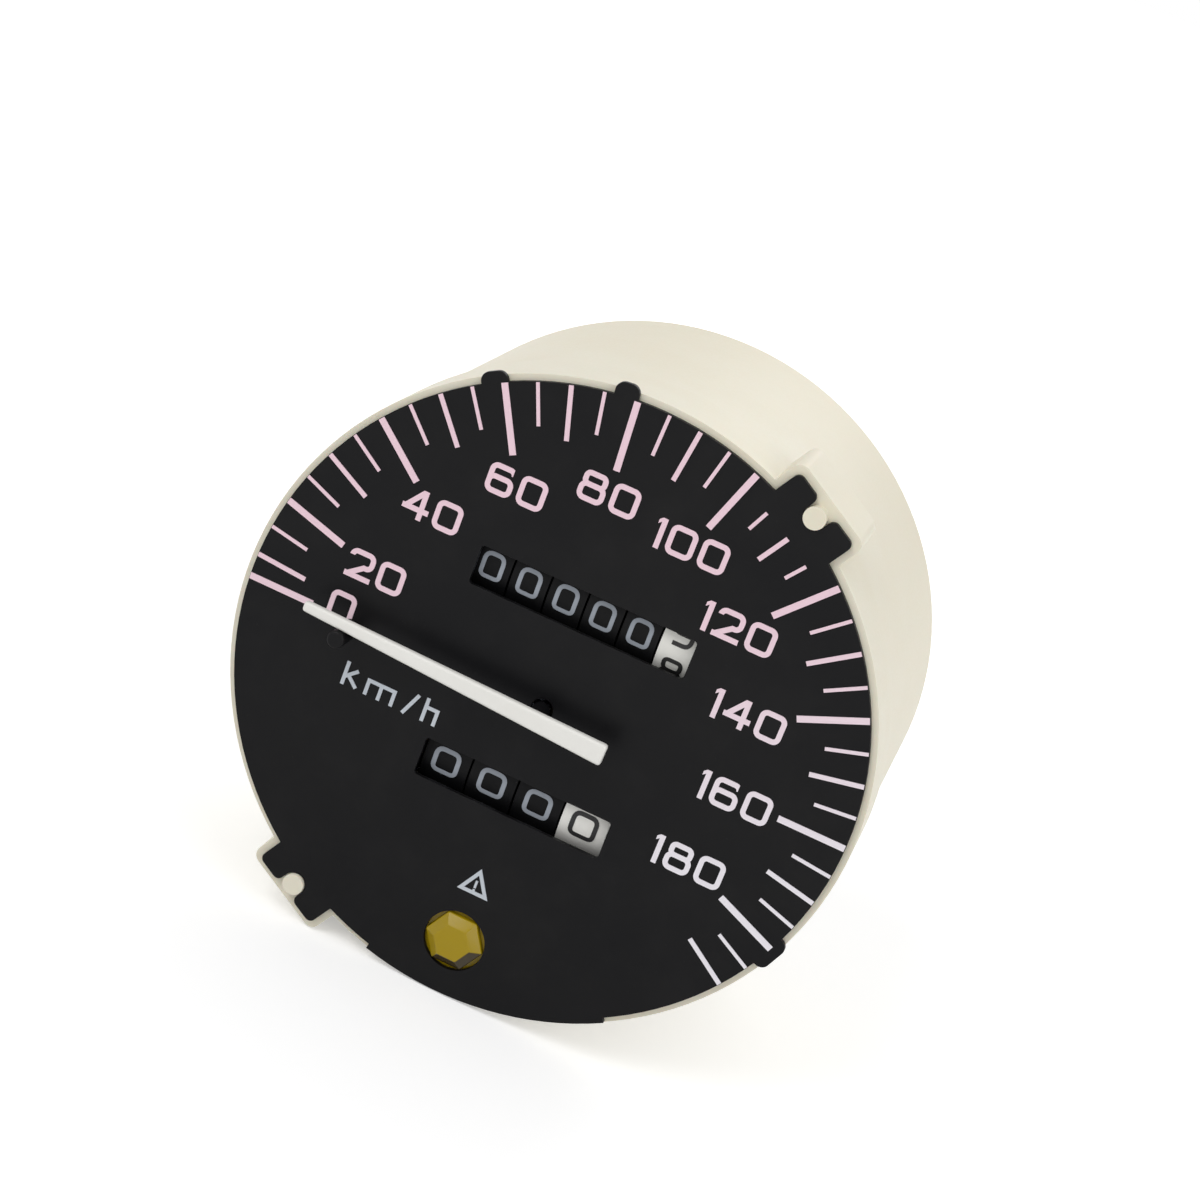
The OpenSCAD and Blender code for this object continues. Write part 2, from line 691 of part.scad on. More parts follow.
// Counter shafts, clips and carry pinions
shaft_end = 0.9;
module plate_rod(r) rod_x(r, left_x - shaft_end, right_x + plate_t + shaft_end);
module odometer_shaft() color(steel) in_case()
    translate([0, drum_y, odometer_z]) plate_rod(counter_shaft_r);
module carry_shafts() color(steel) in_case()
    for (p = carry_spots()) translate([0, p[0], p[1]]) plate_rod(carry_shaft_r);
module clip_pair(r) for (x = [left_x - clip_t, right_x + plate_t]) difference() {
    rod_x(r + clip_rim, x, x + clip_t);
    rod_x(r + fixed_gap, x - 1, x + clip_t + 1);
}
module shaft_clips() color(steel) in_case() {
    translate([0, drum_y, odometer_z]) clip_pair(counter_shaft_r);
    for (p = carry_spots()) translate([0, p[0], p[1]]) clip_pair(carry_shaft_r);
}
module carry_row(p, count, pitch, middle) color([0.9, 0.9, 0.88]) in_case() translate([0, p[0], p[1]])
    for (i = [0 : count - 2])
        let (x = drum_x(i, count, pitch, middle) + pitch / 2)
            along_x(x - carry_w / 2, x + carry_w / 2) difference() {
                toothed(carry_teeth, 2 * carry_r / (carry_teeth + 1.5));
                circle(r = carry_shaft_r + run_gap);
            }
module odometer_carry_pinions() carry_row(carry_spots()[0], odometer_count, odometer_pitch, odometer_x);
module trip_carry_pinions() carry_row(carry_spots()[1], trip_count, trip_pitch, trip_x);

// Needle line: bar, hub, spindle, drag cup and collet turn together
module needle() color([0.96, 0.95, 0.92]) in_case() difference() {
    front(needle_front_y, needle_front_y + needle_t) rotate(-rest_angle)
        polygon([
            [-needle_tail_w / 2, -needle_tail], [needle_tail_w / 2, -needle_tail],
            [needle_tip_w / 2, needle_tip], [-needle_tip_w / 2, needle_tip]
        ]);
    rod_y(spindle_r + fixed_gap, needle_front_y + needle_t / 2, 0);
}
module needle_hub() color([0.9, 0.9, 0.87]) in_case() difference() {
    rod_y(hub_r, needle_front_y + needle_t, -dial_t - free_gap);
    rod_y(spindle_r + fixed_gap, needle_front_y, 0);
}
module needle_spindle() color(steel) in_case()
    rod_y(spindle_r, needle_front_y + needle_t / 2 + fixed_gap, input_front_y + pivot_depth - free_gap);
module drag_cup() color([0.8, 0.8, 0.82]) in_case() difference() {
    union() {
        rod_y(cup_r, cup_y, magnet_y + magnet_t + cup_t);
        rod_y(2, cup_y - 1, cup_y + 1);
    }
    rod_y(cup_r - cup_wall, cup_y + cup_t, magnet_y + magnet_t + cup_t + 1);
    rod_y(spindle_r + fixed_gap, 0, 2 * cup_y);
}
module hairspring_collet() color(brass) in_case() difference() {
    rod_y(collet_r, hairspring_y - 1, hairspring_y + 1);
    rod_y(spindle_r + fixed_gap, 0, 2 * hairspring_y);
}

// Input: spindle, worm and magnet turn with the cable
module input_spindle() color(steel) in_case() difference() {
    union() {
        rod_y(input_r, base_y - input_collar, case_depth + neck_l - socket_recess);
        rod_y(input_front_r, input_front_y, base_y);
    }
    rod_y(spindle_r + run_gap, input_front_y - 1, input_front_y + pivot_depth);
    translate([0, case_depth + neck_l - socket_recess, 0])
        cube([socket_w, 2 * socket_depth, socket_w], center = true);
}
module drive_worm() color(brass) in_case() translate([0, cross_y, 0]) rotate([-90, 0, 0])
    worm(cross_worm_r, cross_module, input_front_r + fixed_gap);
module magnet() color([0.3, 0.3, 0.31]) in_case() difference() {
    rod_y(magnet_r, magnet_y, magnet_y + magnet_t);
    rod_y(input_front_r + fixed_gap, 0, 2 * magnet_y);
}

// Cross shaft: its wheel meets the drive worm, and a worm at each end drives a counter
module on_cross() in_case() translate([cross_x, cross_y, 0]) children();
module cross_shaft() color(steel) on_cross()
    translate([0, 0, -cross_end_z]) cylinder(r = cross_r, h = 2 * cross_end_z);
module cross_wheel() color(brass) on_cross()
    translate([0, 0, -wheel_w / 2]) linear_extrude(wheel_w) difference() {
        rotate(180) toothed(cross_teeth, cross_module);
        circle(r = cross_r + fixed_gap);
    }
module cross_worm(z) color(brass) on_cross() translate([0, 0, z]) rotate([0, 0, -90])
    worm(arbor_worm_r, arbor_module, cross_r + fixed_gap);
module odometer_worm() cross_worm(arbor_z);
module trip_worm() cross_worm(-arbor_z);

// Counter arbors: each carries a worm wheel and the pinion that turns a drum gear
module on_arbor(side) in_case() translate([0, arbor_y, side * arbor_z]) children();
module arbor(side) color(steel) on_arbor(side) plate_rod(arbor_r);
module arbor_wheel(side) color(brass) on_arbor(side) along_x(cross_x - wheel_w / 2, cross_x + wheel_w / 2)
    difference() {
        toothed(arbor_teeth, arbor_module);
        circle(r = arbor_r + fixed_gap);
    }
module arbor_pinion(side, turn) color(brass) on_arbor(side) along_x(gear_x - gear_w / 2, gear_x + gear_w / 2)
    difference() {
        rotate(turn) toothed(drum_teeth, drum_module);
        circle(r = arbor_r + fixed_gap);
    }
module odometer_arbor() arbor(1);
module odometer_worm_wheel() arbor_wheel(1);
module odometer_pinion() arbor_pinion(1, 180);
module trip_arbor() arbor(-1);
module trip_worm_wheel() arbor_wheel(-1);
module trip_pinion() arbor_pinion(-1, 180 - trip_mesh);

// Number drums: hollow wheels on the counter shafts, the last of each row white
module drum(i, count, pitch, middle, y, z) {
    x = drum_x(i, count, pitch, middle);
    half = (pitch - drum_side_gap) / 2;
    color(i == count - 1 ? [0.94, 0.93, 0.9] : dial_black) in_case() translate([0, y, z]) difference() {
        rod_x(drum_r, x - half, x + half);
        difference() {
            rod_x(drum_r - drum_rim_t, x - half - 1, x + half - drum_web_t);
            rod_x(drum_hub_r, x - half - 2, x + half);
        }
        rod_x(counter_shaft_r + run_gap, x - half - 2, x + half + 1);
    }
}
module odometer_drum(i) drum(i, odometer_count, odometer_pitch, odometer_x, drum_y, odometer_z);
module trip_drum(i) drum(i, trip_count, trip_pitch, trip_x, trip_y, -trip_z);
module drum_gear(y, z, turn, from) color([0.9, 0.9, 0.88]) in_case() translate([0, y, z]) difference() {
    union() {
        along_x(gear_x - gear_w / 2, gear_x + gear_w / 2) rotate(turn) toothed(drum_teeth, drum_module);
        rod_x(drum_hub_r, from, right_x - free_gap);
    }
    rod_x(counter_shaft_r + run_gap, from - 1, right_x + 1);
}
half_tooth = 180 / drum_teeth;
module odometer_gear()
    drum_gear(drum_y, odometer_z, half_tooth,
        odometer_x + (odometer_count * odometer_pitch - drum_side_gap) / 2);
module trip_gear() drum_gear(trip_y, -trip_z, half_tooth - trip_mesh, trip_x + trip_count * trip_pitch / 2);

// Trip reset: the knob turns a spindle whose bevel turns the trip shaft
module trip_shaft() color(steel) in_case() translate([0, trip_y, -trip_z])
    rod_x(counter_shaft_r, reset_x + bevel_in, right_x + plate_t + shaft_end);
module bevel(bore) difference() {
    union() {
        translate([0, 0, bevel_r])
            mirror([0, 0, 1])
                linear_extrude(bevel_r - bevel_in, scale = bevel_in / bevel_r)
                    toothed(bevel_teeth, 2 * bevel_r / bevel_teeth, 0.5, 0.8);
        translate([0, 0, bevel_r]) cylinder(r = bevel_hub_r, h = bevel_hub_l);
    }
    cylinder(r = bore, h = 4 * bevel_r);
}
module trip_bevel() color(brass) in_case() translate([reset_x, trip_y, -trip_z]) rotate([0, 90, 0])
    rotate(90 + 180 / bevel_teeth) bevel(counter_shaft_r + fixed_gap);
module reset_spindle() color(steel) in_case() at([reset_x, -trip_z])
    rod_y(reset_r, trip_y + bevel_in, case_depth + knob_gap + knob_l - 2);
module reset_bevel() color(brass) in_case() translate([reset_x, trip_y, -trip_z]) rotate([-90, 0, 0])
    bevel(reset_r + fixed_gap);
module reset_knob() color([0.1, 0.1, 0.1]) in_case() at([reset_x, -trip_z]) difference() {
    union() {
        rod_y(knob_r, case_depth + knob_gap, case_depth + knob_gap + knob_l - 1);
        translate([0, case_depth + knob_gap + knob_l - 1, 0]) rotate([-90, 0, 0])
            cylinder(r1 = knob_r, r2 = knob_r - 1, h = 1);
    }
    rod_y(reset_r + fixed_gap, case_depth, case_depth + knob_gap + knob_l - 2 + fixed_gap);
}

housing();
dial_plate();
dial_scale();
dial_numerals();
dial_legend();
dial_feet();
dial_foot_clips();
stop_pin();
warning_jewel();
movement_frame();
front_bridge();
bridge_screws();
needle_bush();
hairspring();
hairspring_stud();
cable_neck();
neck_bush();
frame_screws();
lamp_holders();
lamp_bulbs();
odometer_shaft();
shaft_clips();
carry_shafts();
odometer_carry_pinions();
trip_carry_pinions();
needle();
needle_hub();
needle_spindle();
drag_cup();
hairspring_collet();
input_spindle();
drive_worm();
magnet();
cross_shaft();
cross_wheel();
odometer_worm();
trip_worm();
odometer_arbor();
odometer_worm_wheel();
odometer_pinion();
trip_arbor();
trip_worm_wheel();
trip_pinion();
for (i = [1 : odometer_count])
    odometer_drum(i - 1);
odometer_gear();
for (i = [1 : trip_count])
    trip_drum(i - 1);
trip_gear();
trip_shaft();
trip_bevel();
reset_spindle();
reset_bevel();
reset_knob();
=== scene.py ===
import bpy
import json
import math
from mathutils import Matrix, Vector

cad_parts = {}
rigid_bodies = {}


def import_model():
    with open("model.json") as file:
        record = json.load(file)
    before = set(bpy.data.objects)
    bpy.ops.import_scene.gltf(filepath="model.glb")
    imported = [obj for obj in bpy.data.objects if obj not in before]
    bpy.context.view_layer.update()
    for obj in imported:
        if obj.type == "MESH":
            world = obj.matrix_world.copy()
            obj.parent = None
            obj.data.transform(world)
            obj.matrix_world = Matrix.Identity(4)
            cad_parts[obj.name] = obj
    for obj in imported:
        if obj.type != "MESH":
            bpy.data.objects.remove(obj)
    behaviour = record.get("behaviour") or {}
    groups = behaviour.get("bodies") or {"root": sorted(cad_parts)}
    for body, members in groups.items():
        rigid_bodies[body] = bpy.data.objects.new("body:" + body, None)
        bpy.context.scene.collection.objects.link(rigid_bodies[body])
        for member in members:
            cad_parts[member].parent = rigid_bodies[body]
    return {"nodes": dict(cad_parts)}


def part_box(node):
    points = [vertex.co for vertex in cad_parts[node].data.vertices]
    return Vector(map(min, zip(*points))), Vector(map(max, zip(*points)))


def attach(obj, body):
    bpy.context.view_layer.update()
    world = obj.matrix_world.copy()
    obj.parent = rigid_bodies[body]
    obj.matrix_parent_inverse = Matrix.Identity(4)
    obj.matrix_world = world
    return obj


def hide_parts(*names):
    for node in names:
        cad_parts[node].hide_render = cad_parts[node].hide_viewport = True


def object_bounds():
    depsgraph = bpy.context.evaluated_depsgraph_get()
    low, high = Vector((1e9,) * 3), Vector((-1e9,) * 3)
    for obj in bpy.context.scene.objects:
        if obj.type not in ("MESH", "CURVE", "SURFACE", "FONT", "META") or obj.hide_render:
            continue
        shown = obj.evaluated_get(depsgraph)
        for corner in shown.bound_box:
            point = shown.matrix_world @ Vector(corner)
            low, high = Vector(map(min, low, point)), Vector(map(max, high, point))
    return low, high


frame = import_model()
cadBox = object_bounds()
nodes = frame["nodes"]
mm = 0.001


# Selection and edit mode

def deselectAll():
    active = bpy.context.view_layer.objects.active
    if active and active.mode != "OBJECT":
        bpy.ops.object.mode_set(mode="OBJECT")
    for item in bpy.context.view_layer.objects:
        item.select_set(False)


def pick(piece):
    deselectAll()
    piece.select_set(True)
    bpy.context.view_layer.objects.active = piece


def editAll(piece, selectMode="VERT"):
    pick(piece)
    bpy.ops.object.mode_set(mode="EDIT")
    bpy.ops.mesh.select_mode(type=selectMode)
    bpy.ops.mesh.select_all(action="SELECT")


def objectMode():
    bpy.ops.object.mode_set(mode="OBJECT")


# Edit mode with only these faces selected
def selectFaces(piece, faces):
    chosen = {face.index for face in faces}
    editAll(piece, "FACE")
    bpy.ops.mesh.select_all(action="DESELECT")
    objectMode()
    for face in piece.data.polygons:
        face.select = face.index in chosen
    bpy.ops.object.mode_set(mode="EDIT")


# Making, joining and finishing pieces

def linkObject(name, data):
    item = bpy.data.objects.new(name, data)
    bpy.context.scene.collection.objects.link(item)
    return item


def meshPiece(name, verts, edges, faces):
    mesh = bpy.data.meshes.new(name)
    mesh.from_pydata(verts, edges, faces)
    return linkObject(name, mesh)


# A closed ring of (radius, y) points in millimetres, ready to be turned about the Y axis
def ringPiece(name, points):
    count = len(points)
    edges = [(index, (index + 1) % count) for index in range(count)]
    return meshPiece(name, [(r * mm, y * mm, 0) for r, y in points], edges, [])


def mergePoints(piece, distance):
    editAll(piece)
    bpy.ops.mesh.remove_doubles(threshold=distance * mm)
    bpy.ops.mesh.normals_make_consistent(inside=False)
    objectMode()


# Joins pieces into the first of them
def joinPieces(pieces):
    pick(pieces[0])
    for piece in pieces[1:]:
        piece.select_set(True)
    bpy.ops.object.join()
    return pieces[0]


def applyModifier(piece, kind, **settings):
    pick(piece)
    modifier = piece.modifiers.new(kind.lower(), kind)
    for key, value in settings.items():
        setattr(modifier, key, value)
    bpy.ops.object.modifier_apply(modifier=modifier.name)


def smoothByAngle(piece, degrees):
    pick(piece)
    bpy.ops.object.shade_smooth_by_angle(angle=math.radians(degrees))


def placeInMesh(piece, matrix):
    piece.data.transform(matrix)
    piece.data.update()


def settle(piece, name):
    pick(piece)
    bpy.ops.object.transform_apply(location=True, rotation=True, scale=True)
    piece.name = name
    piece.data.name = name
    return piece


# Lowest and highest corner of a CAD node, in millimetres
def boxOf(nodeName):
    low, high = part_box(nodeName)
    return low / mm, high / mm


# Shared effects as node groups, each with a Vector input, numbers for the rest and masks or values out

def newGroup(name, inputs, outputs):
    tree = bpy.data.node_groups.new(name, "ShaderNodeTree")
    tree.interface.new_socket(name="Vector", in_out="INPUT", socket_type="NodeSocketVector")
    for label in inputs:
        tree.interface.new_socket(name=label, in_out="INPUT", socket_type="NodeSocketFloat")
    for label in outputs:
        tree.interface.new_socket(name=label, in_out="OUTPUT", socket_type="NodeSocketFloat")
    return tree, tree.nodes.new("NodeGroupInput"), tree.nodes.new("NodeGroupOutput")


def addNode(tree, kind, **settings):
    node = tree.nodes.new(kind)
    for key, value in settings.items():
        setattr(node, key, value)
    return node


# Links a socket, or sets it to a number or a colour
def feed(tree, socket, value):
    if isinstance(value, bpy.types.NodeSocket):
        tree.links.new(value, socket)
    elif isinstance(value, tuple):
        socket.default_value = (*value, 1.0)
    else:
        socket.default_value = value


def addMath(tree, operation, a, b, clamp=False):
    node = addNode(tree, "ShaderNodeMath", operation=operation, use_clamp=clamp)
    feed(tree, node.inputs[0], a)
    feed(tree, node.inputs[1], b)
    return node.outputs[0]


def addRange(tree, value, low, high, toLow=0.0, toHigh=1.0):
    node = addNode(tree, "ShaderNodeMapRange", interpolation_type="SMOOTHSTEP")
    tree.links.new(value, node.inputs["Value"])
    for label, number in (("From Min", low), ("From Max", high), ("To Min", toLow), ("To Max", toHigh)):
        node.inputs[label].default_value = number
    return node.outputs["Result"]


def addNoise(tree, vector, scale, detail, roughness=0.55):
    node = addNode(tree, "ShaderNodeTexNoise")
    for label, value in (("Vector", vector), ("Scale", scale), ("Detail", detail), ("Roughness", roughness)):
        feed(tree, node.inputs[label], value)
    return node.outputs["Fac"]


# Grain: a fine moulded or sprayed texture with slow patches under it
grainEffect = {
    "fineDetail": 3.0, "fineShare": 0.6,
    "coarseSize": 0.22, "coarseDetail": 2.0, "coarseShare": 0.4,
    "patchDetail": 4.0, "patchRange": (0.32, 0.68),
}


def makeGrainGroup():
    tree, source, sink = newGroup("surfaceGrain", ["Grain Scale", "Patch Scale"],
                                  ["Grain", "Patches", "Height"])
    vector = source.outputs["Vector"]
    fineScale = source.outputs["Grain Scale"]
    coarseScale = addMath(tree, "MULTIPLY", fineScale, grainEffect["coarseSize"])
    fine = addNoise(tree, vector, fineScale, grainEffect["fineDetail"])
    coarse = addNoise(tree, vector, coarseScale, grainEffect["coarseDetail"])
    patches = addNoise(tree, vector, source.outputs["Patch Scale"], grainEffect["patchDetail"])
    low = addMath(tree, "MULTIPLY", coarse, grainEffect["coarseShare"])
    high = addMath(tree, "MULTIPLY", fine, grainEffect["fineShare"])
    tree.links.new(fine, sink.inputs["Grain"])
    tree.links.new(addRange(tree, patches, *grainEffect["patchRange"]), sink.inputs["Patches"])
    tree.links.new(addMath(tree, "ADD", high, low), sink.inputs["Height"])
    return tree


# Edge wear: where the rounded normal departs from the face, broken up by noise
wearEffect = {
    "samples": 6, "edgeRange": (0.02, 0.2),
    "chipScale": 900.0, "chipDetail": 5.0, "chipRange": (0.42, 0.62), "chipShare": 0.75, "evenShare": 0.25,
}


def makeWearGroup():
    tree, source, sink = newGroup("edgeWear", ["Reach", "Amount"], ["Mask"])
    bevel = addNode(tree, "ShaderNodeBevel", samples=wearEffect["samples"])
    tree.links.new(source.outputs["Reach"], bevel.inputs["Radius"])
    face = addNode(tree, "ShaderNodeNewGeometry")
    dot = addNode(tree, "ShaderNodeVectorMath", operation="DOT_PRODUCT")
    tree.links.new(bevel.outputs["Normal"], dot.inputs[0])
    tree.links.new(face.outputs["Normal"], dot.inputs[1])
    edge = addRange(tree, addMath(tree, "SUBTRACT", 1.0, dot.outputs["Value"]), *wearEffect["edgeRange"])
    noise = addNoise(tree, source.outputs["Vector"], wearEffect["chipScale"], wearEffect["chipDetail"])
    chips = addRange(tree, noise, *wearEffect["chipRange"])
    broken = addMath(tree, "MULTIPLY", chips, wearEffect["chipShare"])
    worn = addMath(tree, "MULTIPLY", edge, addMath(tree, "ADD", broken, wearEffect["evenShare"]))
    mask = addMath(tree, "MULTIPLY", worn, source.outputs["Amount"], clamp=True)
    tree.links.new(mask, sink.inputs["Mask"])
    return tree


# Dust: small specks and a thin film, thicker on what faces up
dustEffect = {
    "speckScale": 3400.0, "speckDetail": 2.0, "speckRange": (0.7, 0.76), "speckShare": 0.8,
    "filmScale": 140.0, "filmDetail": 6.0, "filmRange": (0.4, 0.75), "filmShare": 0.35,
    "slopeRange": (-0.2, 1.0), "slopeShare": (0.35, 1.0),
}


def makeDustGroup():
    tree, source, sink = newGroup("dustFilm", ["Amount"], ["Mask"])

    def layer(label):
        scale, detail = dustEffect[label + "Scale"], dustEffect[label + "Detail"]
        noise = addNoise(tree, source.outputs["Vector"], scale, detail)
        spread = addRange(tree, noise, *dustEffect[label + "Range"])
        return addMath(tree, "MULTIPLY", spread, dustEffect[label + "Share"])

    face = addNode(tree, "ShaderNodeNewGeometry")
    parts = addNode(tree, "ShaderNodeSeparateXYZ")
    tree.links.new(face.outputs["Normal"], parts.inputs["Vector"])
    upward = addRange(tree, parts.outputs["Z"], *dustEffect["slopeRange"], *dustEffect["slopeShare"])
    lying = addMath(tree, "MULTIPLY", addMath(tree, "ADD", layer("speck"), layer("film")), upward)
    mask = addMath(tree, "MULTIPLY", lying, source.outputs["Amount"], clamp=True)
    tree.links.new(mask, sink.inputs["Mask"])
    return tree


# Turned lines: fine rings on what is turned about the Y axis, and streaks along the other shafts
turnedEffect = {"stretch": (900.0, 9000.0, 900.0), "detail": 3.0, "roughness": 0.6}


def makeTurnedGroup():
    tree, source, sink = newGroup("turnedLines", ["Fineness"], ["Lines"])
    stretch = addNode(tree, "ShaderNodeVectorMath", operation="MULTIPLY")
    tree.links.new(source.outputs["Vector"], stretch.inputs[0])
    stretch.inputs[1].default_value = turnedEffect["stretch"]
    lines = addNoise(tree, stretch.outputs["Vector"], source.outputs["Fineness"], turnedEffect["detail"],
                     turnedEffect["roughness"])
    tree.links.new(lines, sink.inputs["Lines"])
    return tree


grainGroup = makeGrainGroup()
wearGroup = makeWearGroup()
dustGroup = makeDustGroup()
turnedGroup = makeTurnedGroup()


def useGroup(tree, group, vector, **values):
    node = addNode(tree, "ShaderNodeGroup", node_tree=group)
    tree.links.new(vector, node.inputs["Vector"])
    for label, value in values.items():
        node.inputs[label].default_value = value
    return node


mixSockets = {"factor": 0, "a": 6, "b": 7, "result": 2}  # where a Mix node has its sockets for colours


def mixColor(tree, factor, a, b):
    node = addNode(tree, "ShaderNodeMix", data_type="RGBA")
    for label, value in (("factor", factor), ("a", a), ("b", b)):
        feed(tree, node.inputs[mixSockets[label]], value)
    return node.outputs[mixSockets["result"]]


# Mixes in a colour where a vector points far enough along a direction
def mixAlong(tree, vector, color, side):
    dot = addNode(tree, "ShaderNodeVectorMath", operation="DOT_PRODUCT")
    tree.links.new(vector, dot.inputs[0])
    dot.inputs[1].default_value = side["along"]
    share = addRange(tree, dot.outputs["Value"], side["start"], side["end"])
    return mixColor(tree, share, color, side["color"])


# What a finish has where its own settings don't say otherwise, with lengths in metres
plainLook = {"metallic": 0.0, "specular": 0.5, "ior": 1.45, "transmission": 0.0, "subsurface": 0.0,
             "subsurfaceScale": 0.001, "dust": 0.0, "dustColor": (0.55, 0.53, 0.5), "turned": 0.0,
             "glossRange": (0.3, 0.7)}
plasticGrain = {**plainLook, "grainScale": 2600.0, "patchScale": 45.0, "patchMix": 0.6, "bump": 0.12,
                "bumpDepth": 0.00006}
metalGrain = {**plainLook, "grainScale": 3200.0, "patchScale": 90.0, "patchMix": 0.5, "bump": 0.18,
              "bumpDepth": 0.00004, "metallic": 1.0}
plainSockets = {"metallic": "Metallic", "specular": "Specular IOR Level", "ior": "IOR",
                "transmission": "Transmission Weight", "subsurface": "Subsurface Weight",
                "subsurfaceScale": "Subsurface Scale"}


# One finish from its settings: base and patch colour, a tint along a direction (yellowing on the case,
# painted glow on the dial ink), painted dark reflection on what faces one way, wear, dust, grain and gloss
def makeFinish(name, look):
    material = bpy.data.materials.new(name)
    material.use_nodes = True
    tree = material.node_tree
    shader = tree.nodes["Principled BSDF"]
    vector = addNode(tree, "ShaderNodeTexCoord").outputs["Object"]
    scales = {"Grain Scale": look["grainScale"], "Patch Scale": look["patchScale"]}
    grain = useGroup(tree, grainGroup, vector, **scales)
    patch = addMath(tree, "MULTIPLY", grain.outputs["Patches"], look["patchMix"])
    color = mixColor(tree, patch, look["base"], look["patch"])
    # A tint along a direction: yellowing on the case, painted glow on the dial ink
    if "tintAndGlow" in look:
        color = mixAlong(tree, vector, color, look["tintAndGlow"])
    # Painted dark reflection: faces turned along a direction take a darker colour
    if "paintedDarkReflection" in look:
        normal = addNode(tree, "ShaderNodeNewGeometry").outputs["True Normal"]
        color = mixAlong(tree, normal, color, look["paintedDarkReflection"])
    if "wear" in look:
        wear = useGroup(tree, wearGroup, vector, Reach=look["wear"]["reach"], Amount=look["wear"]["amount"])
        color = mixColor(tree, wear.outputs["Mask"], color, look["wear"]["color"])
    if look["dust"]:
        dust = useGroup(tree, dustGroup, vector, Amount=look["dust"])
        color = mixColor(tree, dust.outputs["Mask"], color, look["dustColor"])
    tree.links.new(color, shader.inputs["Base Color"])
    height = grain.outputs["Height"]
    rough = grain.outputs["Grain"]
    if look["turned"]:
        lines = useGroup(tree, turnedGroup, vector, Fineness=look["turned"]).outputs["Lines"]
        height = lines
        rough = lines
    gloss = addRange(tree, rough, *look["glossRange"], *look["roughness"])
    tree.links.new(gloss, shader.inputs["Roughness"])
    bump = addNode(tree, "ShaderNodeBump")
    bump.inputs["Strength"].default_value = look["bump"]
    bump.inputs["Distance"].default_value = look["bumpDepth"]
    tree.links.new(height, bump.inputs["Height"])
    tree.links.new(bump.outputs["Normal"], shader.inputs["Normal"])
    for key, label in plainSockets.items():
        shader.inputs[label].default_value = look[key]
    return material


